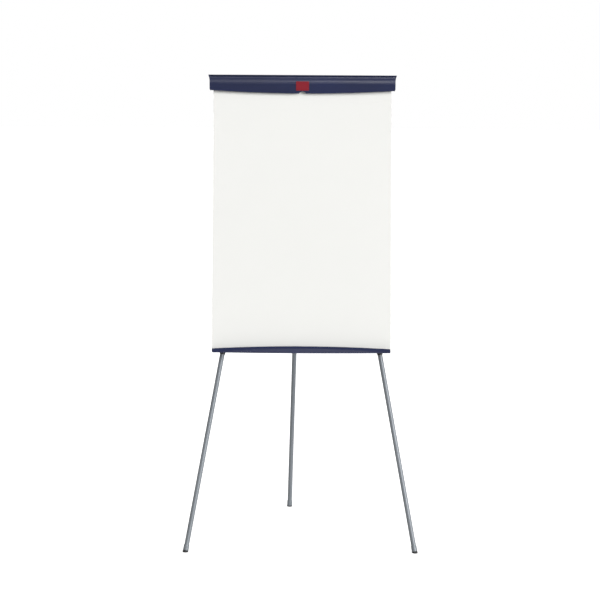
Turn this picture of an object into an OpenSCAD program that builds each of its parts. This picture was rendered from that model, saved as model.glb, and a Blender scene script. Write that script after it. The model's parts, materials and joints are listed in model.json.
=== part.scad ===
// Flipchart easel: a white board held by two splayed front legs and one rear leg, with a sprung
// clamp bar for the pad along the top and a pen tray along the bottom.
// Everything on the board is drawn upright in the board's own frame, where X runs across the
// board, Z runs up it and -Y faces the writer. Y = 0 is the plane of the front legs' axes, and
// Z = 0 is where that plane meets the floor. board_frame() then leans it all back.

/* [Board] */
// Width of the board
board_w = 680; // [600:10:700]
// Height of the board
board_h = 1000; // [900:10:1050]
// Thickness of the board with its two skins
board_t = 11; // [8:1:13]
// Thickness of the white steel sheet on the front
sheet_t = 0.4; // [0.3:0.1:1]
// Thickness of the edging strip round the board
trim_t = 1; // [0.5:0.5:2]

/* [Stance] */
// Backward lean of the board and the front legs, in degrees
lean = 9; // [6:0.5:12]
// Outward splay of each front leg, in degrees
splay = 10.2; // [7:0.1:10.5]
// Opening of the rear leg from the board, in degrees
rear_open = 23.2; // [20:0.1:26]
// Sideways turn of the rear leg's clevis, in degrees
rear_skew = 1.5; // [0:0.1:2]
// Height of the leg pivots, up the board's plane
pivot_s = 1755; // [1740:5:1800]
// Distance of each front leg's pivot from the centre line
pivot_x = 120; // [100:5:130]

/* [Legs] */
// Outer radius of the upper leg tube
upper_r = 11; // [10:0.5:12]
// Inner radius of the upper leg tube
upper_bore_r = 9.5; // [9.5:0.1:9.6]
// Length from the pivot to the lower end of the upper tube
upper_l = 1012; // [1000:1:1020]
// Outer radius of the lower leg tube
lower_r = 9; // [8.5:0.1:9]
// Wall of the lower leg tube
lower_wall = 1.2; // [1:0.1:2]
// Length of lower tube that stays inside the upper tube
overlap = 100; // [80:5:150]
// Radius of the foot cap
foot_r = 10.5; // [10.2:0.1:11]
// Length of the foot with its cap and rubber pad
foot_l = 28; // [24:1:40]

/* [Clamp bar] */
// Width of the clamp bar's face
clamp_w = 709; // [700:1:712]
// Amount by which the top lip flares out at each end
flare = 4.5; // [2:0.5:6]
// Height over which the ends flare out
flare_h = 26; // [12:1:30]
// Height of the clamp bar at its middle
clamp_h = 69; // [66:1:72]
// Drop of the bowed edge from its ends to its middle
bow = 11; // [8:0.5:12]
// Wall of the moulded shell
shell_t = 2.5; // [2:0.5:3]
// Width of the finger notch in the lower edge
notch_w = 28; // [20:1:40]
// Height of the finger notch
notch_h = 7; // [5:1:10]
// Width of the badge
badge_w = 50; // [30:1:60]
// Distance of each pad peg from the centre line
peg_x = 140; // [130:5:150]
// Outward travel of each pad peg
peg_travel = 160; // [100:10:165]

/* [Pen tray] */
// Width of the tray with its end caps
tray_w = 674; // [600:2:690]
// Height of the front lip at its ends
lip_h = 15; // [12:0.5:16]
// Rise of the arched lip from its ends to its middle
lip_rise = 9.5; // [8:0.5:14]
// Depth of the tray in front of the board
tray_d = 33; // [30:1:40]

/* [Hidden] */
$fn = 64;

// Colours
navy = [0.19, 0.21, 0.31];
leg_grey = [0.52, 0.55, 0.58];
board_white = [0.96, 0.96, 0.94];
steel = [0.72, 0.73, 0.75];
black = [0.09, 0.09, 0.1];
badge_red = [0.62, 0.13, 0.17];

// Clearances
slip = 0.05;        // round parts that turn or slide in each other
fixed_gap = 0.1;    // screws and rivets in their holes
free_gap = 0.3;     // faces of different bodies

// Board, from back to front and from bottom to top
back_y = -18;
front_y = back_y - board_t;
board_s0 = 760;
board_s1 = board_s0 + board_h;

// Sheet metal behind the board
strip_t = 1.5;
sheet_corner_r = 6;                     // round corners of the strip and the bracket's plates
strip_s0 = 1690;
strip_s1 = 1798;
plate_t = 2.5;
strip_y = back_y + strip_t;
bracket_y = strip_y + plate_t;          // inner face of the bracket's front plate
bracket_w = 340;
bracket_s0 = pivot_s - 40;
bracket_s1 = pivot_s + 30;
bend_r = plate_t + 2;                   // outer radius of the bracket's two bends
screw_r = 2;
screw_head_r = 4.5;
screw_depth = 8;                        // how far every screw goes into the board
bracket_screws_xs = [[-155, -20], [-60, -20], [60, -20], [155, -20]];
strip_screws_x = [-305, -230, 230, 305];
strip_screw_s = 1730;
tray_screws_x = [-325, -50, 50, 325];
tray_screw_s = 775;
rivets_x = [-320, -190, 190, 320];
rivet_s = 1780;
rivet_r = 2;

// Clamp rail and hinge
rail_s1 = 1800;
rail_wall = 2;
cavity_y0 = front_y + rail_wall;
cavity_y1 = back_y - rail_wall;
peg_s = 1788;
peg_r = 4;
hinge_y = -23.5;
hinge_s = 1806;
hinge_rod_r = 2.5;
knuckle_r = 4.5;
knuckle_l = 16;
knuckle_x = board_w / 2 - 10;
ear_l = 8;
ear_gap = 0.5;

// Clamp bar
clamp_top = hinge_s + 9;
clamp_bottom = clamp_top - clamp_h;
clamp_back_y = hinge_y + 3.5;
lip_y = front_y - 25;                   // front edge of the top lip
lip_t = 3.5;
recess_y = front_y - 18;                // the short wall under the lip
shoulder_y = front_y - 24;              // the rounded shoulder ends here, tangent to the face
shoulder_s0 = clamp_top - 34;
shoulder_s1 = clamp_top - 9;
shoulder_rise = shoulder_s1 - shoulder_s0;
shoulder_in = recess_y - shoulder_y;
shoulder_r = (shoulder_rise * shoulder_rise + shoulder_in * shoulder_in) / (2 * shoulder_in);
face_slope = 0.3;                       // the face leans back by this much for each mm down
bow_r = (clamp_w * clamp_w / 4 + bow * bow) / (2 * bow);
corner_r = 7;
end_cap_t = 3;
grip_s = 1772;
badge_s0 = clamp_bottom + 10;
badge_s1 = badge_s0 + 34;

// Pen tray
tray_s0 = board_s0 - 3;
tray_front_y = front_y - tray_d;
tray_wall = 2.5;
tray_sag = 2.3;                         // the lower edge of the front dips by this at its middle
lens_rise = 17;                         // the sloping lens at the foot of the lip is this high
lens_part = 0.96;                       // part of the tray's width that the lens covers
tray_cap_t = 3;

// Guide bar
guide_s0 = 850;
guide_h = 25;
guide_y = 13.5;
guide_t = 2.5;
guide_w = 640;
outer_stop_x = pivot_x + (pivot_s - guide_s0) * tan(splay) + upper_r / cos(splay) + free_gap;
inner_stop_x = pivot_x - upper_r - free_gap;

// Legs, along their own axes from the pivot
pivot_r = 4;
knuckle_half = 11;
tube_top = 26;
plug_l = 70;
collar_r = 15;
collar_l = 40;
collar_mid = upper_l - 42;
collar_boss_y = 27;
thumb_screw_r = 3;
knob_y = collar_boss_y + 0.4;
ferrule_l = 8;
rear_y = 34;
clevis_base_y = bracket_y + 2 * 14 + plate_t + plate_t;     // rear face of the clevis's base
rear_stop_gap = 0.2;
rear_heel = (rear_y - clevis_base_y - rear_stop_gap - knuckle_half * cos(rear_open)) / sin(rear_open);
front_leg_l = pivot_s / cos(splay);
rear_down = sin(rear_open) * sin(lean) + cos(rear_open) * cos(rear_skew) * cos(lean);
rear_back = sin(rear_open) * cos(lean) - cos(rear_open) * cos(rear_skew) * sin(lean);
rear_side = cos(rear_open) * sin(rear_skew);
rear_leg_l = (pivot_s * cos(lean) - rear_y * sin(lean)) / rear_down;

// The origin is on the floor, in the middle of the three feet's outline
pad_r = foot_r + 0.2;
front_reach = -pad_r / cos(lean);
rear_foot_y = pivot_s * sin(lean) + rear_y * cos(lean) + rear_leg_l * rear_back;
rear_reach = rear_foot_y + pad_r * sqrt(1 - rear_side * rear_side) / rear_down;
shift_y = -(front_reach + rear_reach) / 2;

// ---- frames and helpers ----

module board_frame() translate([0, shift_y, 0]) rotate([-lean, 0, 0]) children();

// Origin on the pivot, Z up the leg, Y as on the board
module front_leg(side)
    board_frame() translate([side * pivot_x, 0, pivot_s]) rotate([0, -side * splay, 0]) children();

module clevis_frame() board_frame() translate([0, 0, pivot_s]) rotate([0, rear_skew, 0]) children();

module rear_leg() clevis_frame() translate([0, rear_y, 0]) rotate([rear_open, 0, 0]) children();

module block(x, y, z) translate([x[0], y[0], z[0]]) cube([x[1] - x[0], y[1] - y[0], z[1] - z[0]]);

module rod_x(r, x0, x1) translate([x0, 0, 0]) rotate([0, 90, 0]) cylinder(r = r, h = x1 - x0);

module rod_y(r, y0, y1) translate([0, y1, 0]) rotate([90, 0, 0]) cylinder(r = r, h = y1 - y0);

// A section drawn as [y, z], extruded across the board
module along_x(x0, x1) translate([x0, 0, 0]) rotate([90, 0, 90]) linear_extrude(x1 - x0) children();

// An outline drawn as [x, z], extruded from front to back
module along_y(y0, y1) translate([0, y1, 0]) rotate([90, 0, 0]) linear_extrude(y1 - y0) children();

// A rectangle between two pairs of limits, with round corners
module round_rect(x, z, r) {
    translate([x[0] + r, z[0]]) square([x[1] - x[0] - 2 * r, z[1] - z[0]]);
    translate([x[0], z[0] + r]) square([x[1] - x[0], z[1] - z[0] - 2 * r]);
    for (cx = [x[0] + r, x[1] - r], cz = [z[0] + r, z[1] - r]) translate([cx, cz]) circle(r = r);
}

// A cylinder up Z whose two rims are chamfered
module chamfered(r, z0, z1, c) {
    translate([0, 0, z0 + c]) cylinder(r = r, h = z1 - z0 - 2 * c);
    translate([0, 0, z0]) cylinder(r1 = r - c, r2 = r, h = c);
    translate([0, 0, z1 - c]) cylinder(r1 = r, r2 = r - c, h = c);
}

module tube(r, bore, z0, z1)
    difference() {
        translate([0, 0, z0]) cylinder(r = r, h = z1 - z0);
        translate([0, 0, z0 - 1]) cylinder(r = bore, h = z1 - z0 + 2);
    }

// A screw along Y: its shank runs forward to y0, and its domed head with a cross recess starts at y1
module screw(y0, y1, head_h = 2.4) {
    rim_h = 0.35 * head_h;
    rod_y(screw_r, y0, y1);
    difference() {
        union() {
            rod_y(screw_head_r, y1, y1 + rim_h);
            translate([0, y1 + rim_h, 0]) rotate([-90, 0, 0])
                cylinder(r1 = screw_head_r, r2 = 0.6 * screw_head_r, h = head_h - rim_h);
        }
        for (turn = [0, 90]) rotate([0, turn, 0])
            block([-2.6, 2.6], [y1 + 0.4 * head_h, y1 + head_h + 1], [-0.45, 0.45]);
    }
}

module screw_holes_in_board()
    for (p = concat(
        [for (q = bracket_screws_xs) [q[0], pivot_s + q[1]]],
        [for (x = strip_screws_x) [x, strip_screw_s]],
        [for (x = tray_screws_x) [x, tray_screw_s]],
        [for (x = guide_screw_x()) [x, guide_s0 + guide_h / 2]]))
        translate([p[0], 0, p[1]]) rod_y(screw_r + fixed_gap, back_y - screw_depth - 0.5, back_y + 1);

function guide_screw_x() = [
    for (side = [-1, 1], x = [inner_stop_x - 10, outer_stop_x + 12]) side * x
];

// ---- board ----

module writing_surface()
    color(board_white) board_frame()
        block([trim_t - board_w / 2, board_w / 2 - trim_t], [front_y, front_y + sheet_t],
            [board_s0 + trim_t, board_s1 - trim_t]);

module board_core()
    color([0.7, 0.6, 0.45]) board_frame() difference() {
        block([trim_t - board_w / 2, board_w / 2 - trim_t], [front_y + sheet_t, back_y - sheet_t],
            [board_s0 + trim_t, board_s1 - trim_t]);
        screw_holes_in_board();
    }

module board_backing()
    color([0.6, 0.6, 0.6]) board_frame() difference() {
        block([trim_t - board_w / 2, board_w / 2 - trim_t], [back_y - sheet_t, back_y],
            [board_s0 + trim_t, board_s1 - trim_t]);
        screw_holes_in_board();
    }

module edge_trims()
    color(board_white) board_frame() difference() {
        block([-board_w / 2, board_w / 2], [front_y, back_y], [board_s0, board_s1]);
        block([trim_t - board_w / 2, board_w / 2 - trim_t], [front_y - 1, back_y + 1],
            [board_s0 + trim_t, board_s1 - trim_t]);
    }

module joining_strip()
    color(steel) board_frame() difference() {
        along_y(back_y, strip_y) round_rect([-330, 330], [strip_s0, strip_s1], sheet_corner_r);
        for (q = bracket_screws_xs)
            translate([q[0], 0, pivot_s + q[1]]) rod_y(screw_r + fixed_gap, back_y - 1, strip_y + 1);
        for (x = strip_screws_x)
            translate([x, 0, strip_screw_s]) rod_y(screw_r + fixed_gap, back_y - 1, strip_y + 1);
        for (x = rivets_x)
            translate([x, 0, rivet_s]) rod_y(rivet_r + fixed_gap, back_y - 1, strip_y + 1);
    }

module strip_screws()
    color(steel) board_frame() for (x = strip_screws_x)
        translate([x, 0, strip_screw_s]) screw(back_y - screw_depth, strip_y);

// ---- clamp rail ----

module clamp_rail()
    color(steel) board_frame() difference() {
        union() {
            block([-board_w / 2, board_w / 2], [front_y, back_y], [board_s1, rail_s1]);
            for (x = [-knuckle_x, 0, knuckle_x]) {
                translate([x, hinge_y, hinge_s]) rod_x(knuckle_r, -knuckle_l / 2, knuckle_l / 2);
                block([x - knuckle_l / 2, x + knuckle_l / 2], [hinge_y - knuckle_r, hinge_y + knuckle_r],
                    [rail_s1 - 1, hinge_s]);
            }
        }
        block([-board_w, board_w], [cavity_y0, cavity_y1], [board_s1 + rail_wall, rail_s1 - rail_wall]);
        translate([0, hinge_y, hinge_s]) rod_x(hinge_rod_r + slip, -board_w, board_w);
        for (side = [-1, 1]) {
            for (x = [peg_x, peg_x + peg_travel])
                translate([side * x, 0, peg_s]) rod_y(peg_r + free_gap, front_y - 1, cavity_y0 + 1);
            translate([side * (peg_x + peg_travel / 2), 0, peg_s])
                block([-peg_travel / 2, peg_travel / 2], [front_y - 1, cavity_y0 + 1],
                    [-peg_r - free_gap, peg_r + free_gap]);
        }
        for (x = rivets_x)
            translate([x, 0, rivet_s]) rod_y(rivet_r + fixed_gap, cavity_y1 - 1, back_y + 1);
    }

module rail_end_plugs()
    color(black) board_frame() for (side = [0, 1]) mirror([side, 0, 0]) {
        block([board_w / 2 - 4, board_w / 2], [cavity_y0 + fixed_gap, cavity_y1 - fixed_gap],
            [board_s1 + rail_wall + fixed_gap, rail_s1 - rail_wall - fixed_gap]);
        block([board_w / 2, board_w / 2 + 1.5], [front_y, back_y], [board_s1, rail_s1]);
    }

module rail_rivets()
    color(steel) board_frame() for (x = rivets_x) translate([x, 0, rivet_s]) {
        rod_y(rivet_r, cavity_y1 - 0.8, strip_y);
        rod_y(1.8 * rivet_r, strip_y, strip_y + 1.2);
        rod_y(1.4 * rivet_r, cavity_y1 - 0.8, cavity_y1);
    }

module clamp_hinge_rod()
    color(steel) board_frame() translate([0, hinge_y, hinge_s]) {
        rod_x(hinge_rod_r, -board_w / 2 - 2, board_w / 2 + 2);
        for (side = [0, 1]) mirror([side, 0, 0]) {
            x0 = knuckle_x + knuckle_l / 2 + free_gap;
            rod_x(hinge_rod_r + 1, x0, x0 + 2);
        }
    }

// Each spring is a sleeve of coils round the rod, with one arm on the rail and one under the roof
module clamp_springs() {
    wire_r = 0.6;
    coil_r = 4.2;
    pitch = 1.25;
    turns = 9;
    color([0.35, 0.35, 0.37]) board_frame() for (side = [-1, 1])
        translate([side * 165, hinge_y, hinge_s]) {
            rotate([0, 90, 0]) rotate_extrude() {
                for (i = [0 : turns - 1]) translate([coil_r, i * pitch]) circle(r = wire_r, $fn = 24);
                translate([coil_r - wire_r / 2, 0]) square([wire_r, (turns - 1) * pitch]);
            }
            translate([0, 0, -coil_r]) rod_y(wire_r, -12, 0);
            translate([(turns - 1) * pitch, 0, coil_r]) rod_y(wire_r, -14, 0);
        }
}

// ---- clamp bar ----

function face_y(z) = shoulder_y + (shoulder_s0 - z) * face_slope;

// Section of the bar, from the lip at the top down the shoulder and the face. An inset shrinks it
// by the thickness of the wall
module clamp_section(inset) {
    low = clamp_bottom - 3;
    polygon([
        [clamp_back_y + 2 * inset, clamp_top - inset],
        [recess_y + inset, clamp_top - inset],
        [recess_y + inset, shoulder_s1 - inset / 2],
        [shoulder_y + shoulder_in / 2 + inset, shoulder_s0 - inset / 2],
        [face_y(low) + 6 + inset, low],
        [face_y(low) + 14 + inset, low],
        [clamp_back_y + 2 * inset, clamp_bottom + 30]
    ]);
    intersection() {
        translate([shoulder_y + shoulder_r, shoulder_s0]) circle(r = shoulder_r - inset, $fn = 180);
        translate([shoulder_y - 1, shoulder_s0 - 0.01]) square([shoulder_in + 4, shoulder_rise + 0.01]);
    }
    polygon([
        [shoulder_y + inset, shoulder_s0],
        [face_y(low) + inset, low],
        [face_y(low) + 10 + inset, low],
        [shoulder_y + shoulder_in + inset, shoulder_s0]
    ]);
}

// The lip stands forward of the shoulder and carries a small bead along its edge
module lip_section() {
    translate([lip_y + lip_t / 2, clamp_top - lip_t]) square([recess_y - lip_y, lip_t]);
    translate([lip_y + lip_t / 2, clamp_top - lip_t / 2]) circle(d = lip_t, $fn = 48);
}

function low_edge(x) = clamp_bottom + bow_r - sqrt(bow_r * bow_r - x * x);

// Front outline of the bar: bowed lower edge, round corners, and ends that flare out to the lip
module clamp_outline() {
    half = clamp_w / 2;
    flat = half - corner_r;
    corner_z = low_edge(flat) + corner_r;
    right = concat(
        [for (a = [-80 : 10 : 0]) [flat + corner_r * cos(a), corner_z + corner_r * sin(a)]],
        [for (t = [0 : 0.1 : 1]) [half + flare * t * t, clamp_top - flare_h + (flare_h - 2) * t]],
        [[half + flare, clamp_top]]
    );
    bottom = [for (i = [-16 : 16]) [flat * i / 16, low_edge(flat * i / 16)]];
    left = [for (i = [len(right) - 1 : -1 : 0]) [-right[i][0], right[i][1]]];
    notch_r = (notch_w * notch_w / 4 + notch_h * notch_h) / (2 * notch_h);
    difference() {
        polygon(concat(bottom, right, left));
        translate([0, clamp_bottom + notch_h - notch_r]) circle(r = notch_r, $fn = 96);
    }
}

module clamp_bar()
    color(navy) board_frame() intersection() {
        along_y(lip_y - 1, clamp_back_y + 1) clamp_outline();
        difference() {
            union() {
                along_x(-clamp_inner(), clamp_inner()) difference() {
                    clamp_section(0);
                    clamp_section(shell_t);
                }
                along_x(-clamp_inner(), clamp_inner()) lip_section();
                block([-clamp_inner(), clamp_inner()], [shoulder_y + 3, front_y - 3],
                    [grip_s - 1.5, grip_s + 1.5]);
                for (side = [-1, 1], x = [knuckle_x - ear_offset(), ear_offset()])
                    translate([side * x, hinge_y, hinge_s]) {
                        rod_x(knuckle_r, -ear_l / 2, ear_l / 2);
                        block([-ear_l / 2, ear_l / 2], [-knuckle_r, 3.5],
                            [0, clamp_top - hinge_s - 1]);
                    }
            }
            translate([0, hinge_y, hinge_s]) rod_x(hinge_rod_r + slip, -clamp_w, clamp_w);
        }
    }

function clamp_inner() = clamp_w / 2 - end_cap_t;
function ear_offset() = (knuckle_l + ear_l) / 2 + ear_gap;

module clamp_end_caps()
    color(navy) board_frame() for (side = [0, 1]) mirror([side, 0, 0]) intersection() {
        along_y(lip_y - 1, clamp_back_y + 1) clamp_outline();
        along_x(clamp_inner(), clamp_w) union() {
            clamp_section(0);
            lip_section();
        }
    }

module grip_strip()
    color(black) board_frame() difference() {
        block([-clamp_inner() + 1, clamp_inner() - 1], [front_y - 4, front_y - free_gap],
            [grip_s - 4, grip_s + 4]);
        block([-clamp_w, clamp_w], [front_y - 5, front_y - 3], [grip_s - 1.5, grip_s + 1.5]);
    }

// A blank plate that lies on the face and the foot of the shoulder, with a low rim round it
module badge() {
    rim = 1.6;
    plate = 1.8;
    recess = 0.5;
    r = 3;
    color(badge_red) board_frame() difference() {
        badge_slab(badge_w / 2, badge_s0, badge_s1, -plate, 12, r);
        along_x(-badge_w, badge_w) clamp_section(0);
        badge_slab(badge_w / 2 - rim, badge_s0 + rim, badge_s1 - rim, -plate - 1, recess - plate, r - rim);
    }
}

// A plate parallel to the face, from front to back in mm behind the face, with round corners
module badge_slab(half, s0, s1, front, back, r)
    intersection() {
        along_x(-half, half) polygon([
            [face_y(s1) + front, s1], [face_y(s0) + front, s0],
            [face_y(s0) + back, s0], [face_y(s1) + back, s1]
        ]);
        along_y(shoulder_y - 10, shoulder_y + 20) round_rect([-half, half], [s0, s1], r);
    }

// ---- pad pegs ----

module pad_peg(side)
    color(black) board_frame() translate([side * peg_x, 0, peg_s]) {
        tip_y = front_y - 17;
        block([-11, 11], [cavity_y0 + free_gap, cavity_y1 - 1.2], [-8, 8]);
        rod_y(peg_r, tip_y + peg_r, cavity_y0 + 1);
        rod_y(peg_r + 2.5, front_y - 1.8, front_y - free_gap);
        translate([0, tip_y + peg_r, 0]) sphere(r = peg_r);
    }

module pad_peg_left() pad_peg(-1);

module pad_peg_right() pad_peg(1);

// ---- pen tray ----

function arch(x) = 1 - pow(2 * x / tray_w, 2);
function lip_top(x) = tray_s0 + lip_h + lip_rise * arch(x);
function tray_low(x) = tray_s0 - tray_sag * arch(x);
function lens_top(x) = tray_s0 - 1 + lens_rise * arch(x);

// The area between two curves that run across the tray, out to a half width
module between(half, upper, lower) {
    steps = 25;
    xs = [for (i = [-steps : steps]) half * i / steps];
    polygon(concat(
        [for (x = xs) [x, upper(x)]],
        [for (i = [2 * steps : -1 : 0]) [xs[i], lower(xs[i])]]
    ));
}

module whole_front(half) between(half, function(x) lip_top(x), function(x) tray_low(x));

module lens_front(half) between(lens_part * half, function(x) lens_top(x), function(x) tray_low(x));

// What is left of the front above the lens and at its two ends
module band_front(half)
    between(half, function(x) lip_top(x),
        function(x) abs(x) < lens_part * half ? lens_top(x) : tray_low(x));

module pen_tray() {
    half = tray_w / 2 - tray_cap_t;
    color(navy) board_frame() difference() {
        union() {
            block([-half, half], [tray_front_y, back_y + 2], [tray_s0, tray_s0 + 3]);
            block([-half, half], [back_y, back_y + 2], [tray_s0, tray_s0 + 26]);
            block([-half, half], [front_y - 2.2, front_y], [tray_s0, tray_s0 + 13]);
            along_y(tray_front_y, tray_front_y + tray_wall) whole_front(half);
            along_y(tray_front_y - 2, tray_front_y + 1) band_front(half);
            intersection() {
                along_y(tray_front_y - 6, tray_front_y + 1) lens_front(half);
                along_x(-half, half) polygon([
                    [tray_front_y - 4.6, tray_s0 - 3], [tray_front_y - 1.2, lens_top(0) + 1],
                    [tray_front_y + 1, lens_top(0) + 1], [tray_front_y + 1, tray_s0 - 3]
                ]);
            }
        }
        for (x = tray_screws_x)
            translate([x, 0, tray_screw_s]) rod_y(screw_r + fixed_gap, back_y - 1, back_y + 3);
    }
}

module tray_end_caps()
    color(navy) board_frame() for (side = [0, 1]) mirror([side, 0, 0]) {
        x = [tray_w / 2 - tray_cap_t, tray_w / 2];
        block(x, [tray_front_y - 2, front_y], [tray_s0, tray_s0 + lip_h]);
        block(x, [front_y, back_y + 2], [tray_s0, board_s0]);
    }

module tray_screws()
    color(steel) board_frame() for (x = tray_screws_x)
        translate([x, 0, tray_screw_s]) screw(back_y - screw_depth, back_y + 2, 1.6);

// ---- leg bracket ----

module leg_bracket() {
    half = bracket_w / 2;
    rear = [-bracket_y, -bracket_y + plate_t];
    front = [strip_y, bracket_y];
    color(leg_grey) board_frame() difference() {
        union() {
            bracket_plate(half, front, bracket_s0);
            bracket_plate(half, rear, bracket_s0 + 10);
            block([-half, half], [strip_y + bend_r, rear[1] - bend_r], [bracket_s1, bracket_s1 + plate_t]);
            for (bend = [[strip_y + bend_r, 90], [rear[1] - bend_r, 0]]) along_x(-half, half)
                translate([bend[0], bracket_s1 + plate_t - bend_r]) quarter_ring(bend_r, bend[1]);
        }
        for (side = [-1, 1])
            translate([side * pivot_x, 0, pivot_s]) rod_y(pivot_r + fixed_gap, strip_y - 1, rear[1] + 1);
        for (q = bracket_screws_xs) translate([q[0], 0, pivot_s + q[1]]) {
            rod_y(screw_r + fixed_gap, strip_y - 1, bracket_y + 1);
            rod_y(screw_head_r + 1.5, rear[0] - 1, rear[1] + 1);
        }
        translate([0, 0, pivot_s]) rotate([0, rear_skew, 0]) clevis_rivet_holes(rear[0] - 1, rear[1] + 1);
    }
}

// A plate of the bracket, with round lower corners, up to where its top is bent over
module bracket_plate(half, y, s0) {
    top = bracket_s1 + plate_t - bend_r;
    along_y(y[0], y[1]) intersection() {
        round_rect([-half, half], [s0, top + 20], sheet_corner_r);
        translate([-half, s0]) square([2 * half, top - s0]);
    }
}

// A quarter of a ring of sheet metal, from the given angle on
module quarter_ring(r, angle)
    rotate(angle) intersection() {
        difference() {
            circle(r = r);
            circle(r = r - plate_t);
        }
        square(r);
    }

module clevis_rivet_holes(y0, y1)
    for (x = [-19, 19], z = [-20, 20]) translate([x, 0, z]) rod_y(rivet_r + fixed_gap, y0, y1);

module bracket_screws()
    color(steel) board_frame() for (q = bracket_screws_xs)
        translate([q[0], 0, pivot_s + q[1]]) screw(back_y - screw_depth, bracket_y);

module pivot_washers()
    color(steel) board_frame() for (side = [-1, 1], face = [0, 1])
        translate([side * pivot_x, 0, pivot_s]) mirror([0, face, 0]) difference() {
            rod_y(10, knuckle_half + fixed_gap, -bracket_y);
            rod_y(pivot_r + fixed_gap, knuckle_half - 1, -bracket_y + 1);
        }

module leg_pivot_bolts()
    color(steel) board_frame() for (side = [-1, 1]) translate([side * pivot_x, 0, pivot_s]) {
        rod_y(pivot_r, strip_y, -bracket_y + plate_t);
        rod_y(8, -bracket_y + plate_t, -bracket_y + plate_t + 1.5);
        translate([0, -bracket_y + plate_t + 1.5, 0]) rotate([-90, 0, 0]) cylinder(r = 7.5, h = 5.3, $fn = 6);
    }

// ---- guide bar behind the lower part of the board ----

module guide_bar()
    color(leg_grey) board_frame() difference() {
        along_y(guide_y, guide_y + guide_t)
            round_rect([-guide_w / 2, guide_w / 2], [guide_s0, guide_s0 + guide_h], 5);
        for (x = guide_screw_x())
            translate([x, 0, guide_s0 + guide_h / 2]) rod_y(screw_r + fixed_gap, guide_y - 1, guide_y + 4);
    }

module guide_blocks()
    color(black) board_frame() difference() {
        for (side = [0, 1]) mirror([side, 0, 0]) {
            block([outer_stop_x, guide_w / 2 - 2], [back_y, guide_y], [guide_s0, guide_s0 + guide_h]);
            block([inner_stop_x - 20, inner_stop_x], [back_y, guide_y], [guide_s0, guide_s0 + guide_h]);
        }
        for (x = guide_screw_x())
            translate([x, 0, guide_s0 + guide_h / 2]) rod_y(screw_r + fixed_gap, back_y - 1, guide_y + 1);
    }

module guide_screws()
    color(steel) board_frame() for (x = guide_screw_x())
        translate([x, 0, guide_s0 + guide_h / 2]) screw(back_y - screw_depth, guide_y + guide_t);

module rear_leg_rest()
    color(black) clevis_frame() translate([0, 0, guide_s0 - pivot_s]) difference() {
        block([-18, 18], [guide_y + guide_t, rear_y - 4], [2, 22]);
        translate([0, rear_y, 0]) cylinder(r = upper_r + free_gap, h = 30);
    }

// ---- rear clevis ----

module rear_clevis() {
    ear_x = knuckle_half + 0.6;
    base_y = -bracket_y + plate_t;
    color(leg_grey) clevis_frame() difference() {
        union() {
            along_y(base_y, clevis_base_y) round_rect([-26, 26], [-27, 27], 5);
            for (side = [0, 1]) mirror([side, 0, 0]) {
                block([ear_x, ear_x + 3], [clevis_base_y - 1, rear_y], [-12, 12]);
                translate([0, rear_y, 0]) rod_x(12, ear_x, ear_x + 3);
            }
        }
        translate([0, rear_y, 0]) rod_x(pivot_r + fixed_gap, -40, 40);
        clevis_rivet_holes(base_y - 1, clevis_base_y + 1);
    }
}

module clevis_rivets()
    color(steel) clevis_frame() for (x = [-19, 19], z = [-20, 20]) translate([x, 0, z]) {
        rod_y(rivet_r, -bracket_y - 1.2, clevis_base_y);
        rod_y(1.8 * rivet_r, clevis_base_y, clevis_base_y + 1.2);
        rod_y(1.6 * rivet_r, -bracket_y - 1.2, -bracket_y);
    }

module rear_pivot_pin()
    color(steel) clevis_frame() translate([0, rear_y, 0]) {
        outer_x = knuckle_half + 3.6;
        rod_x(pivot_r, -outer_x - 2, outer_x + 2);
        for (side = [0, 1]) mirror([side, 0, 0]) rod_x(pivot_r + 2, outer_x, outer_x + 2);
    }

// ---- legs, drawn downwards from the pivot ----

module knuckle_plug() {
    translate([0, 0, -tube_top]) cylinder(r = upper_r, h = 5);
    translate([0, 0, -plug_l]) cylinder(r = upper_bore_r - slip, h = plug_l - tube_top + 1);
}

module front_knuckle()
    color(black) difference() {
        union() {
            rotate([90, 0, 0]) chamfered(13, -knuckle_half, knuckle_half, 1);
            block([-10, 10], [-knuckle_half, knuckle_half], [-tube_top + 3, 0]);
            knuckle_plug();
        }
        rod_y(pivot_r + slip, -knuckle_half - 1, knuckle_half + 1);
    }

// The square heel above the pin meets the clevis's base when the leg is fully open
module rear_knuckle()
    color(black) difference() {
        union() {
            block([-knuckle_half, knuckle_half], [-knuckle_half, knuckle_half], [-tube_top + 3, rear_heel]);
            knuckle_plug();
        }
        rod_x(pivot_r + slip, -knuckle_half - 1, knuckle_half + 1);
    }

module upper_tube()
    color(leg_grey) difference() {
        tube(upper_r, upper_bore_r, -upper_l, -tube_top);
        translate([0, 0, -collar_mid]) rod_y(thumb_screw_r + 0.4, 0, upper_r + 1);
    }

module lock_collar()
    color(black) difference() {
        union() {
            chamfered(collar_r, -collar_mid - collar_l / 2, -collar_mid + collar_l / 2, 1.5);
            translate([0, 0, -collar_mid]) rod_y(8, 0, collar_boss_y);
        }
        translate([0, 0, -collar_mid - collar_l]) cylinder(r = upper_r + slip, h = 2 * collar_l);
        translate([0, 0, -collar_mid]) rod_y(thumb_screw_r + slip, 0, collar_boss_y + 1);
    }

module lock_knob() {
    grip_r = 14;
    lobes = 6;
    color(black) translate([0, 0, -collar_mid]) {
        rod_y(thumb_screw_r, lower_r + free_gap, knob_y + 1);
        rod_y(9, knob_y, knob_y + 4);
        difference() {
            rotate([-90, 0, 0]) chamfered(grip_r, knob_y + 3.5, knob_y + 15, 1.5);
            for (i = [0 : lobes - 1]) rotate([0, i * 360 / lobes, 0])
                translate([grip_r + 2.5, 0, 0]) rod_y(5, knob_y, knob_y + 16);
            rod_y(6, knob_y + 14, knob_y + 16);
        }
    }
}

module ferrule() color(black) tube(foot_r, lower_r + slip, -upper_l - ferrule_l, -upper_l);

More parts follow.
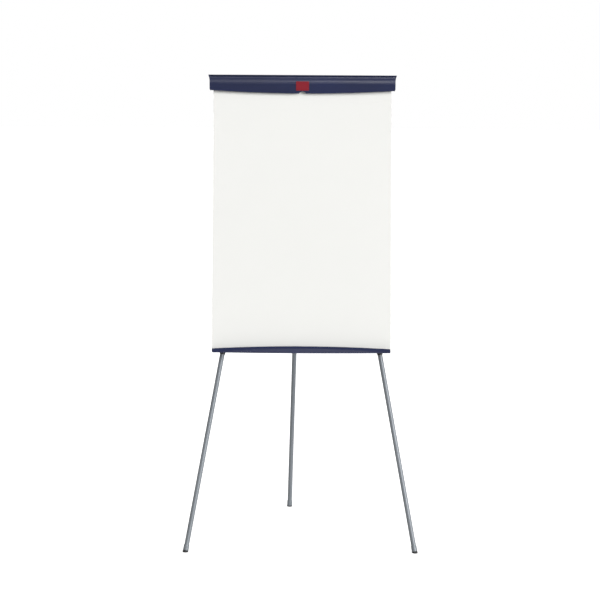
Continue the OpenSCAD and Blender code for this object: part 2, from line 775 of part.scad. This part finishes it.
module lower_tube(l)
    color(leg_grey) tube(lower_r, lower_r - lower_wall, -l + 10, -upper_l + overlap);

module guide_bush() {
    bore = lower_r - lower_wall;
    color(black) translate([0, 0, -upper_l + overlap]) {
        cylinder(r = upper_bore_r - slip, h = 12);
        translate([0, 0, -20]) cylinder(r = bore - slip, h = 21);
    }
}

module foot_cap(l)
    color(leg_grey) difference() {
        union() {
            translate([0, 0, -l + 7]) cylinder(r = foot_r, h = foot_l - 10);
            translate([0, 0, -l + foot_l - 3]) cylinder(r1 = foot_r, r2 = lower_r + 0.6, h = 3);
        }
        translate([0, 0, -l + 10]) cylinder(r = lower_r + slip, h = foot_l);
    }

module foot_pad(l) color(black) chamfered(pad_r, -l - 5, -l + 7, 0.6);

// Keeps only what is above the floor
module on_floor() intersection() {
    children();
    block([-600, 600], [-600, 600], [0, 100]);
}

writing_surface();
board_core();
board_backing();
edge_trims();
joining_strip();
strip_screws();
clamp_rail();
rail_end_plugs();
rail_rivets();
clamp_hinge_rod();
clamp_springs();
clamp_bar();
clamp_end_caps();
grip_strip();
badge();
pad_peg_left();
pad_peg_right();
pen_tray();
tray_end_caps();
tray_screws();
leg_bracket();
bracket_screws();
pivot_washers();
leg_pivot_bolts();
guide_bar();
guide_blocks();
guide_screws();
rear_leg_rest();
rear_clevis();
clevis_rivets();
rear_pivot_pin();
front_leg(-1) front_knuckle();  // left_knuckle
front_leg(-1) upper_tube();  // left_upper_tube
front_leg(-1) lock_collar();  // left_lock_collar
front_leg(-1) lock_knob();  // left_lock_knob
front_leg(-1) ferrule();  // left_ferrule
front_leg(-1) lower_tube(front_leg_l);  // left_lower_tube
front_leg(-1) guide_bush();  // left_guide_bush
front_leg(-1) foot_cap(front_leg_l);  // left_foot_cap
on_floor() front_leg(-1) foot_pad(front_leg_l);  // left_foot_pad
front_leg(1) front_knuckle();  // right_knuckle
front_leg(1) upper_tube();  // right_upper_tube
front_leg(1) lock_collar();  // right_lock_collar
front_leg(1) lock_knob();  // right_lock_knob
front_leg(1) ferrule();  // right_ferrule
front_leg(1) lower_tube(front_leg_l);  // right_lower_tube
front_leg(1) guide_bush();  // right_guide_bush
front_leg(1) foot_cap(front_leg_l);  // right_foot_cap
on_floor() front_leg(1) foot_pad(front_leg_l);  // right_foot_pad
rear_leg() rear_knuckle();
rear_leg() upper_tube();  // rear_upper_tube
rear_leg() lock_collar();  // rear_lock_collar
rear_leg() lock_knob();  // rear_lock_knob
rear_leg() ferrule();  // rear_ferrule
rear_leg() lower_tube(rear_leg_l);  // rear_lower_tube
rear_leg() guide_bush();  // rear_guide_bush
rear_leg() foot_cap(rear_leg_l);  // rear_foot_cap
on_floor() rear_leg() foot_pad(rear_leg_l);  // rear_foot_pad
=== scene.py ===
"""A flipchart easel: materials, small pieces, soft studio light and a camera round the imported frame."""
import json
import math

import bmesh
import bpy
from mathutils import Matrix, Vector


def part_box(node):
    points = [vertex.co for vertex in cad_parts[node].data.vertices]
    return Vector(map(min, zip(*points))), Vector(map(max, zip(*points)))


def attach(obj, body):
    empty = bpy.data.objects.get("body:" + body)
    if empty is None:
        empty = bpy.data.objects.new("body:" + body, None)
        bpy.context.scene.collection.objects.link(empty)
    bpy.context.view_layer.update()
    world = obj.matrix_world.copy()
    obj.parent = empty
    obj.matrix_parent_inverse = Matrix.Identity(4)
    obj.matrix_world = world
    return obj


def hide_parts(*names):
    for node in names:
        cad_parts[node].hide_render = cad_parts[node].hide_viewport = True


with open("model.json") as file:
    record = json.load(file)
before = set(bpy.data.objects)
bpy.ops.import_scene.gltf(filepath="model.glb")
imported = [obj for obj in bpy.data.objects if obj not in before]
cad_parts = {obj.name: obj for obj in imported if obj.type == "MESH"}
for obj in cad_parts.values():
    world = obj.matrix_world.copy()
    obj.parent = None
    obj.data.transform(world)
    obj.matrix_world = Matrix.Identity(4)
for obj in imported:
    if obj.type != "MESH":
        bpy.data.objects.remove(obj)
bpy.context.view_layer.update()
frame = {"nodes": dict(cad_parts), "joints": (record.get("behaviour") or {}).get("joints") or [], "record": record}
nodes = frame["nodes"]

MM = 0.001
LEAN = math.radians(9.0)
BOARD_UP = Vector((0.0, math.sin(LEAN), math.cos(LEAN)))
BOARD_BACK = Vector((0.0, math.cos(LEAN), -math.sin(LEAN)))


# ---- camera ----

CAMERA_PLACE = (-0.0248, -6.7375, 1.7075)
CAMERA_PITCH = math.radians(6.655)
CAMERA_YAW = math.radians(0.17)
CAMERA_ROLL = math.radians(0.32)
CAMERA_LENS = 103.0


def make_camera():
    """A long lens a little below the board's top, looking slightly down and leaning slightly."""
    data = bpy.data.cameras.new("camera")
    data.sensor_width = 36.0
    data.lens = CAMERA_LENS
    data.clip_end = 300.0
    camera = bpy.data.objects.new("camera", data)
    forward = Vector((
        math.sin(CAMERA_YAW) * math.cos(CAMERA_PITCH),
        math.cos(CAMERA_YAW) * math.cos(CAMERA_PITCH),
        -math.sin(CAMERA_PITCH),
    ))
    level = Vector((math.cos(CAMERA_YAW), -math.sin(CAMERA_YAW), 0.0))
    upright = level.cross(forward)
    right = level * math.cos(CAMERA_ROLL) + upright * math.sin(CAMERA_ROLL)
    up = upright * math.cos(CAMERA_ROLL) - level * math.sin(CAMERA_ROLL)
    turn = Matrix((right, up, -forward)).transposed().to_4x4()
    camera.matrix_world = Matrix.Translation(CAMERA_PLACE) @ turn
    bpy.context.scene.collection.objects.link(camera)
    bpy.context.scene.camera = camera


# ---- node helpers ----

MAP_RANGE_ENDS = ("From Min", "From Max", "To Min", "To Max")
MIX_AMOUNT, MIX_COLOUR_A, MIX_COLOUR_B = 0, 6, 7    # input sockets of a Mix node that mixes colours
MIX_COLOUR = 2                                      # its output socket
OPEN_FACE, SHARP_EDGE = 0.985, 0.80                 # how well a rounded normal agrees with the true one
STEEP, FLAT = 0.35, 0.95                            # how far a normal points up


class Graph:
    """One material and the few kinds of node that the materials below share."""

    def __init__(self, name):
        self.material = bpy.data.materials.new(name)
        self.material.use_nodes = True
        self.tree = self.material.node_tree
        self.shader = self.tree.nodes["Principled BSDF"]
        self.place = self.add("ShaderNodeTexCoord").outputs["Object"]

    def add(self, kind, **settings):
        node = self.tree.nodes.new(kind)
        for key, value in settings.items():
            setattr(node, key, value)
        return node

    def wire(self, value, socket):
        """Puts a number or a colour on a socket, or joins another node's output to it."""
        if isinstance(value, bpy.types.NodeSocket):
            self.tree.links.new(value, socket)
        elif isinstance(value, tuple) and len(value) == 3 and socket.type == "RGBA":
            socket.default_value = (*value, 1.0)
        else:
            socket.default_value = value

    def shade(self, **sockets):
        """Wires the shader's own sockets: a plain value is the same all over the surface."""
        for name, value in sockets.items():
            self.wire(value, self.shader.inputs[name.replace("_", " ")])

    def stretched(self, scale, turn=(0.0, 0.0, 0.0)):
        """The object's coordinates, turned and then scaled on each axis."""
        node = self.add("ShaderNodeMapping")
        self.wire(self.place, node.inputs["Vector"])
        node.inputs["Rotation"].default_value = turn
        node.inputs["Scale"].default_value = scale
        return node.outputs["Vector"]

    def noise(self, scale, detail=3.0, roughness=0.5, vector=None, distortion=0.0):
        node = self.add("ShaderNodeTexNoise")
        self.wire(self.place if vector is None else vector, node.inputs["Vector"])
        node.inputs["Scale"].default_value = scale
        node.inputs["Detail"].default_value = detail
        node.inputs["Roughness"].default_value = roughness
        node.inputs["Distortion"].default_value = distortion
        return node.outputs["Fac"]

    def cells(self, scale, feature="F1"):
        node = self.add("ShaderNodeTexVoronoi", feature=feature)
        self.wire(self.place, node.inputs["Vector"])
        node.inputs["Scale"].default_value = scale
        return node.outputs["Distance"]

    def spread(self, value, low, high, out_low=0.0, out_high=1.0):
        """Maps low..high of a value to out_low..out_high, and holds it there."""
        node = self.add("ShaderNodeMapRange", clamp=True)
        self.wire(value, node.inputs["Value"])
        for name, number in zip(MAP_RANGE_ENDS, (low, high, out_low, out_high)):
            self.wire(number, node.inputs[name])
        return node.outputs["Result"]

    def times(self, a, b):
        node = self.add("ShaderNodeMath", operation="MULTIPLY")
        self.wire(a, node.inputs[0])
        self.wire(b, node.inputs[1])
        return node.outputs[0]

    def mix(self, amount, a, b):
        """A colour between a and b."""
        node = self.add("ShaderNodeMix", data_type="RGBA")
        self.wire(amount, node.inputs[MIX_AMOUNT])
        self.wire(a, node.inputs[MIX_COLOUR_A])
        self.wire(b, node.inputs[MIX_COLOUR_B])
        return node.outputs[MIX_COLOUR]

    def edges(self, radius):
        """Near 1 on edges and corners within a radius in metres, and 0 on open faces."""
        rounded = self.add("ShaderNodeBevel", samples=6)
        rounded.inputs["Radius"].default_value = radius
        true = self.add("ShaderNodeNewGeometry").outputs["Normal"]
        agreement = self.add("ShaderNodeVectorMath", operation="DOT_PRODUCT")
        self.wire(rounded.outputs["Normal"], agreement.inputs[0])
        self.wire(true, agreement.inputs[1])
        return self.spread(agreement.outputs["Value"], OPEN_FACE, SHARP_EDGE)

    def upward(self):
        """1 on faces that look up, where dust settles, and 0 on steep and downward ones."""
        normal = self.add("ShaderNodeNewGeometry").outputs["Normal"]
        parts = self.add("ShaderNodeSeparateXYZ")
        self.wire(normal, parts.inputs[0])
        return self.spread(parts.outputs["Z"], STEEP, FLAT)

    def bump(self, *layers, round_edges=0.0):
        """Stacks (height, strength, distance in metres) layers into the shader's normal."""
        normal = None
        if round_edges:
            rounded = self.add("ShaderNodeBevel", samples=4)
            rounded.inputs["Radius"].default_value = round_edges
            normal = rounded.outputs["Normal"]
        for height, strength, distance in layers:
            node = self.add("ShaderNodeBump")
            node.inputs["Strength"].default_value = strength
            node.inputs["Distance"].default_value = distance
            self.wire(height, node.inputs["Height"])
            if normal is not None:
                self.wire(normal, node.inputs["Normal"])
            normal = node.outputs["Normal"]
        self.wire(normal, self.shader.inputs["Normal"])


# ---- studio ----

KEY_DISTANCE = 8.0      # where its symbol stands: the light itself is the same at any distance
FLOOR_DROP = 0.5 * MM   # keeps the floor clear of the feet
MIDDLE = (0.0, 0.0, 1.0)


def aimed(name, data, place, aim):
    """Links a light at place that shines towards aim."""
    light = bpy.data.objects.new(name, data)
    light.location = place
    light.rotation_euler = (Vector(aim) - Vector(place)).to_track_quat("-Z", "Y").to_euler()
    bpy.context.scene.collection.objects.link(light)


def make_key(name, azimuth, elevation, strength, width):
    """A distant soft source: degrees round from the writer's side to the right, and up."""
    data = bpy.data.lights.new(name, "SUN")
    data.energy = strength
    data.angle = math.radians(width)
    turn, rise = math.radians(azimuth), math.radians(elevation)
    towards = Vector((math.sin(turn) * math.cos(rise), -math.cos(turn) * math.cos(rise), math.sin(rise)))
    aimed(name, data, KEY_DISTANCE * towards, (0.0, 0.0, 0.0))


def make_soft_box(name, place, size, power):
    """A square lamp that shines towards the middle of the easel."""
    data = bpy.data.lights.new(name, "AREA")
    data.shape = "SQUARE"
    data.size = size
    data.energy = power
    aimed(name, data, place, MIDDLE)


def seen_and_lit(tree, socket, seen, lit):
    """Gives a glow one strength where the camera sees it and another where it lights the object."""
    path = tree.nodes.new("ShaderNodeLightPath")
    level = tree.nodes.new("ShaderNodeMapRange")
    tree.links.new(path.outputs["Is Camera Ray"], level.inputs["Value"])
    level.inputs["To Min"].default_value = lit
    level.inputs["To Max"].default_value = seen
    tree.links.new(level.outputs["Result"], socket)


def make_surround(glow):
    """A surround that looks white and lights the object with the given glow."""
    world = bpy.data.worlds.new("surround")
    world.use_nodes = True
    tree = world.node_tree
    tree.nodes["Background"].inputs["Color"].default_value = (1.0, 1.0, 1.0, 1.0)
    seen_and_lit(tree, tree.nodes["Background"].inputs["Strength"], seen=1.0, lit=glow)
    bpy.context.scene.world = world


def make_floor(radius):
    """A pale floor with a glow that only the camera sees, wide enough to meet the surround unseen."""
    mesh = bpy.data.meshes.new("floor")
    form = bmesh.new()
    bmesh.ops.create_circle(form, cap_ends=True, segments=96, radius=radius)
    form.to_mesh(mesh)
    form.free()
    floor = bpy.data.objects.new("floor", mesh)
    floor.location.z = -FLOOR_DROP
    bpy.context.scene.collection.objects.link(floor)
    g = Graph("pale_floor")
    speck = g.spread(g.noise(90.0, 3.0), 0.3, 0.7)
    g.shade(
        Base_Color=g.mix(speck, (0.70, 0.70, 0.70), (0.72, 0.72, 0.72)),
        Roughness=0.9,
        Specular_IOR_Level=0.1,
        Emission_Color=(1.0, 1.0, 1.0),
    )
    seen_and_lit(g.tree, g.shader.inputs["Emission Strength"], seen=0.72, lit=0.0)
    mesh.materials.append(g.material)


def make_studio():
    """Soft light from the front and the right, with a fill from behind on the left."""
    bpy.context.scene.view_settings.view_transform = "Standard"
    make_surround(glow=0.32)
    make_key("key", azimuth=42.0, elevation=14.0, strength=3.00, width=32.0)
    make_key("glint", azimuth=10.0, elevation=39.0, strength=0.52, width=11.0)
    make_soft_box("fill_right", place=(3.6, -2.2, 1.6), size=1.4, power=6.0)
    make_soft_box("fill_behind", place=(-2.6, 3.6, 2.8), size=2.0, power=90.0)
    make_floor(radius=95.0)


# ---- materials ----

def lacquered_steel():
    """The dry-wipe face: white lacquer with a faint orange peel and the soft trails of wiping."""
    g = Graph("lacquered_steel")
    cloud = g.noise(2.2, 3.0)
    trails = g.noise(6.0, 2.0, 0.5, g.stretched((0.4, 1.0, 1.2)), 0.4)
    clean = g.mix(g.spread(cloud, 0.0, 1.0), (0.730, 0.730, 0.703), (0.748, 0.748, 0.725))
    smudge = g.spread(trails, 0.0, 1.0, 0.0, 0.12)
    g.shade(
        Base_Color=g.mix(smudge, clean, (0.62, 0.63, 0.64)),
        Roughness=g.spread(trails, 0.0, 1.0, 0.28, 0.34),
        Coat_Weight=0.25,
        Coat_Roughness=0.12,
    )
    g.bump((g.noise(260.0, 2.0), 0.05, 0.0003))
    return g.material


def moulded_plastic(name, colour, worn, roughness=(0.28, 0.34)):
    """Fine spark-eroded grain, slight flow variation, paler rubbed edges and a little dust on top."""
    g = Graph(name)
    flow = g.noise(7.0, 3.0, 0.55, g.stretched((0.5, 1.0, 1.0)))
    dark = tuple(c * 0.90 for c in colour)
    light = tuple(c * 1.12 for c in colour)
    base = g.mix(g.spread(flow, 0.35, 0.65), dark, light)
    rubbed = g.times(g.edges(0.0009), g.spread(g.noise(55.0, 4.0, 0.6), 0.42, 0.62, 0.1, 0.8))
    base = g.mix(rubbed, base, worn)
    dust = g.times(g.upward(), g.spread(g.noise(30.0, 5.0, 0.65), 0.4, 0.7, 0.01, 0.05))
    base = g.mix(dust, base, (0.45, 0.44, 0.42))
    scuffs = g.noise(24.0, 5.0, 0.65, g.stretched((0.25, 1.0, 1.0)))
    g.shade(Base_Color=base, Roughness=g.spread(scuffs, 0.35, 0.7, *roughness), Specular_IOR_Level=0.45)
    g.bump((g.noise(1500.0, 2.0), 0.10, 0.00012), (g.noise(38.0, 2.0), 0.03, 0.0008), round_edges=0.0006)
    return g.material


def powder_coat():
    """Blue-grey powder coat on the tubes and brackets: orange peel, fine flake and chipped edges."""
    g = Graph("powder_coat")
    tone = g.noise(5.0, 3.0)
    base = g.mix(g.spread(tone, 0.35, 0.65), (0.180, 0.197, 0.216), (0.208, 0.227, 0.248))
    flake = g.spread(g.cells(2600.0), 0.0, 0.35, 0.16, 0.0)
    base = g.mix(flake, base, (0.50, 0.53, 0.56))
    chips = g.times(g.edges(0.0008), g.spread(g.noise(90.0, 4.0, 0.6), 0.50, 0.60))
    base = g.mix(chips, base, (0.42, 0.43, 0.44))
    satin = g.spread(g.noise(18.0, 4.0, 0.6), 0.35, 0.7, 0.36, 0.50)
    g.shade(Base_Color=base, Roughness=satin, Metallic=0.2)
    g.bump((g.noise(700.0, 2.0), 0.14, 0.0002), (g.noise(60.0, 2.0), 0.03, 0.0006), round_edges=0.0005)
    return g.material


def zinc_plate():
    """Zinc-plated sheet and screws: crystal patches, dull spots and small scratches."""
    g = Graph("zinc_plate")
    crystal = g.cells(330.0, "SMOOTH_F1")
    base = g.mix(g.spread(crystal, 0.1, 0.8), (0.52, 0.53, 0.55), (0.66, 0.67, 0.68))
    dull = g.spread(g.noise(16.0, 4.0, 0.6), 0.48, 0.68, 0.0, 0.5)
    base = g.mix(dull, base, (0.40, 0.40, 0.41))
    scratches = g.noise(60.0, 5.0, 0.7, g.stretched((0.15, 1.0, 1.0), turn=(0.0, 0.3, 0.0)))
    g.shade(Base_Color=base, Roughness=g.spread(scratches, 0.3, 0.7, 0.28, 0.46), Metallic=1.0)
    g.bump((scratches, 0.05, 0.0002), (crystal, 0.05, 0.0002), round_edges=0.0004)
    return g.material


def anodised_aluminium():
    """The extruded rail: fine draw lines along its length under a satin anodised skin."""
    g = Graph("anodised_aluminium")
    lines = g.noise(900.0, 3.0, 0.6, g.stretched((0.01, 1.0, 1.0)))
    tone = g.noise(6.0, 2.0)
    base = g.mix(g.spread(lines, 0.3, 0.7), (0.55, 0.56, 0.57), (0.66, 0.67, 0.68))
    base = g.mix(g.spread(tone, 0.4, 0.7, 0.0, 0.3), base, (0.50, 0.51, 0.52))
    satin = g.spread(lines, 0.3, 0.7, 0.28, 0.42)
    g.shade(Base_Color=base, Roughness=satin, Metallic=1.0, Anisotropic=0.4)
    g.bump((lines, 0.08, 0.00008), round_edges=0.0004)
    return g.material


def soft_rubber():
    """Black rubber with a dry bloom and a fine pitted skin."""
    g = Graph("soft_rubber")
    bloom = g.spread(g.noise(80.0, 5.0, 0.7), 0.45, 0.75, 0.0, 0.35)
    base = g.mix(bloom, (0.020, 0.020, 0.021), (0.075, 0.075, 0.078))
    g.shade(Base_Color=base, Roughness=g.spread(g.noise(200.0, 3.0), 0.3, 0.7, 0.68, 0.86))
    g.bump((g.noise(1300.0, 3.0, 0.6), 0.2, 0.00015), round_edges=0.0006)
    return g.material


def fibreboard():
    """The core: pressed brown fibres in patches of lighter and darker tone."""
    g = Graph("fibreboard")
    fibres = g.noise(220.0, 6.0, 0.7, g.stretched((1.0, 0.25, 1.0)), 1.5)
    tone = g.noise(12.0, 3.0)
    base = g.mix(g.spread(fibres, 0.3, 0.7), (0.24, 0.15, 0.075), (0.46, 0.33, 0.19))
    base = g.mix(g.spread(tone, 0.4, 0.7, 0.0, 0.4), base, (0.33, 0.23, 0.13))
    g.shade(Base_Color=base, Roughness=g.spread(fibres, 0.3, 0.7, 0.78, 0.92))
    g.bump((fibres, 0.3, 0.0003))
    return g.material


def melamine_back():
    """The grey backing sheet: a fine leather-like emboss with handling marks."""
    g = Graph("melamine_back")
    emboss = g.cells(420.0, "SMOOTH_F1")
    marks = g.noise(7.0, 5.0, 0.65, g.stretched((0.5, 1.0, 1.0)), 0.8)
    base = g.mix(g.spread(emboss, 0.1, 0.7), (0.33, 0.34, 0.35), (0.39, 0.40, 0.41))
    base = g.mix(g.spread(marks, 0.55, 0.75, 0.0, 0.35), base, (0.27, 0.275, 0.28))
    g.shade(Base_Color=base, Roughness=g.spread(marks, 0.35, 0.7, 0.50, 0.68))
    g.bump((emboss, 0.12, 0.0002), (g.noise(40.0, 2.0), 0.02, 0.001))
    return g.material


def spring_wire():
    """Dark oiled spring steel with draw marks."""
    g = Graph("spring_wire")
    marks = g.noise(400.0, 4.0, 0.6)
    base = g.mix(g.spread(marks, 0.3, 0.7), (0.09, 0.09, 0.10), (0.20, 0.20, 0.21))
    g.shade(Base_Color=base, Roughness=g.spread(marks, 0.3, 0.7, 0.28, 0.40), Metallic=1.0)
    g.bump((marks, 0.06, 0.0001))
    return g.material


MATERIALS = {
    "board_white": lacquered_steel(),
    "board_core": fibreboard(),
    "backing": melamine_back(),
    "white_trim": moulded_plastic(
        "white_edging", (0.78, 0.78, 0.76), worn=(0.86, 0.86, 0.85), roughness=(0.36, 0.50)
    ),
    "zinc_sheet": zinc_plate(),
    "rail": anodised_aluminium(),
    "fastener": zinc_plate(),
    "spring_steel": spring_wire(),
    "navy_plastic": moulded_plastic("navy_plastic", (0.0100, 0.0150, 0.0540), worn=(0.040, 0.048, 0.100)),
    "badge_red": moulded_plastic("badge_red", (0.200, 0.0060, 0.0150), worn=(0.260, 0.030, 0.042)),
    "black_plastic": moulded_plastic("black_plastic", (0.016, 0.016, 0.018), worn=(0.060, 0.060, 0.064)),
    "rubber_black": soft_rubber(),
    "leg_paint": powder_coat(),
}


# ---- frame ----

WELD_GAP = 0.01 * MM
FACET_ANGLE = math.radians(0.4)
CREASE_ANGLE = math.radians(32.0)

# Radii in millimetres, by a node's name or by how it ends.
ROUNDED = {
    "clamp_bar": 0.6, "clamp_end_caps": 0.6, "pen_tray": 0.5, "tray_end_caps": 0.5, "badge": 0.25,
    "clamp_rail": 0.3, "rail_end_plugs": 0.4, "leg_bracket": 0.4, "guide_bar": 0.4, "guide_blocks": 0.6,
    "rear_clevis": 0.5, "rear_leg_rest": 0.6, "grip_strip": 0.4, "edge_trims": 0.2,
}
ROUNDED_ENDINGS = {"knuckle": 0.6, "lock_collar": 0.4, "lock_knob": 0.5, "ferrule": 0.3, "foot_cap": 0.3}


def edge_radius(name):
    """Radius in millimetres that a node's sharp edges are rounded to, or 0."""
    for ending, radius in ROUNDED_ENDINGS.items():
        if name.endswith(ending):
            return radius
    return ROUNDED.get(name, 0.0)


def soften(shown, radius):
    """Merges flat facets, rounds the sharp edges and evens out the shading."""
    flat = shown.modifiers.new("flatten", "DECIMATE")
    flat.decimate_type = "DISSOLVE"
    flat.angle_limit = FACET_ANGLE
    rim = shown.modifiers.new("round_edges", "BEVEL")
    rim.width = radius * MM
    rim.segments = 2
    rim.limit_method = "ANGLE"
    rim.angle_limit = CREASE_ANGLE
    shade = shown.modifiers.new("shade", "WEIGHTED_NORMAL")
    shade.weight = 90


def dress_frame():
    """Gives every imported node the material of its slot, smooth shading, and rounded or crisp edges."""
    for part in frame["record"]["subparts"]:
        shown = nodes[part["node"]]
        shown.data.materials.clear()
        shown.data.materials.append(MATERIALS[part["material_slot"]])
        weld = shown.modifiers.new("weld", "WELD")
        weld.merge_threshold = WELD_GAP
        shown.data.shade_smooth()
        radius = edge_radius(part["node"])
        if radius:
            soften(shown, radius)
        else:
            sharp = shown.modifiers.new("crease", "EDGE_SPLIT")
            sharp.split_angle = CREASE_ANGLE


# ---- springs ----

def spring_path(x0, hinge, length):
    """One torsion spring: an arm on the rail, the coil round the hinge rod, an arm under the roof."""
    coil_r, rail_arm, roof_arm = 4.2 * MM, 12.0 * MM, 14.0 * MM
    turns, steps = 7.5, 24
    points = [(x0, -rail_arm, -coil_r)]
    count = round(turns * steps)
    for i in range(count + 1):
        angle = 2.0 * math.pi * i / steps
        points.append((x0 + length * i / count, coil_r * math.sin(angle), -coil_r * math.cos(angle)))
    points.append((x0 + length, -roof_arm, coil_r))
    return [Vector((x, 0.0, 0.0)) + hinge + back * BOARD_BACK + up * BOARD_UP for x, back, up in points]


def make_springs():
    """The clamp bar's two springs as real coils of wire, where the plain sleeves stand in for them."""
    wire_r = 0.6 * MM
    coil_l = 10.0 * MM
    low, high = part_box("clamp_springs")
    hinge = Vector(next(joint["pos_m"] for joint in frame["joints"] if joint["name"] == "clamp_hinge"))
    data = bpy.data.curves.new("clamp_spring_coils", "CURVE")
    data.dimensions = "3D"
    data.bevel_depth = wire_r
    data.bevel_resolution = 3
    data.use_fill_caps = True
    for x0 in (low[0] + wire_r, high[0] - wire_r - coil_l):
        path = spring_path(x0, hinge, coil_l)
        spline = data.splines.new("POLY")
        spline.points.add(len(path) - 1)
        for point, place in zip(spline.points, path):
            point.co = (*place, 1.0)
    coils = bpy.data.objects.new("clamp_spring_coils", data)
    bpy.context.scene.collection.objects.link(coils)
    data.materials.append(MATERIALS["spring_steel"])
    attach(coils, "board")
    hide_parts("clamp_springs")


make_camera()
make_studio()
dress_frame()
make_springs()
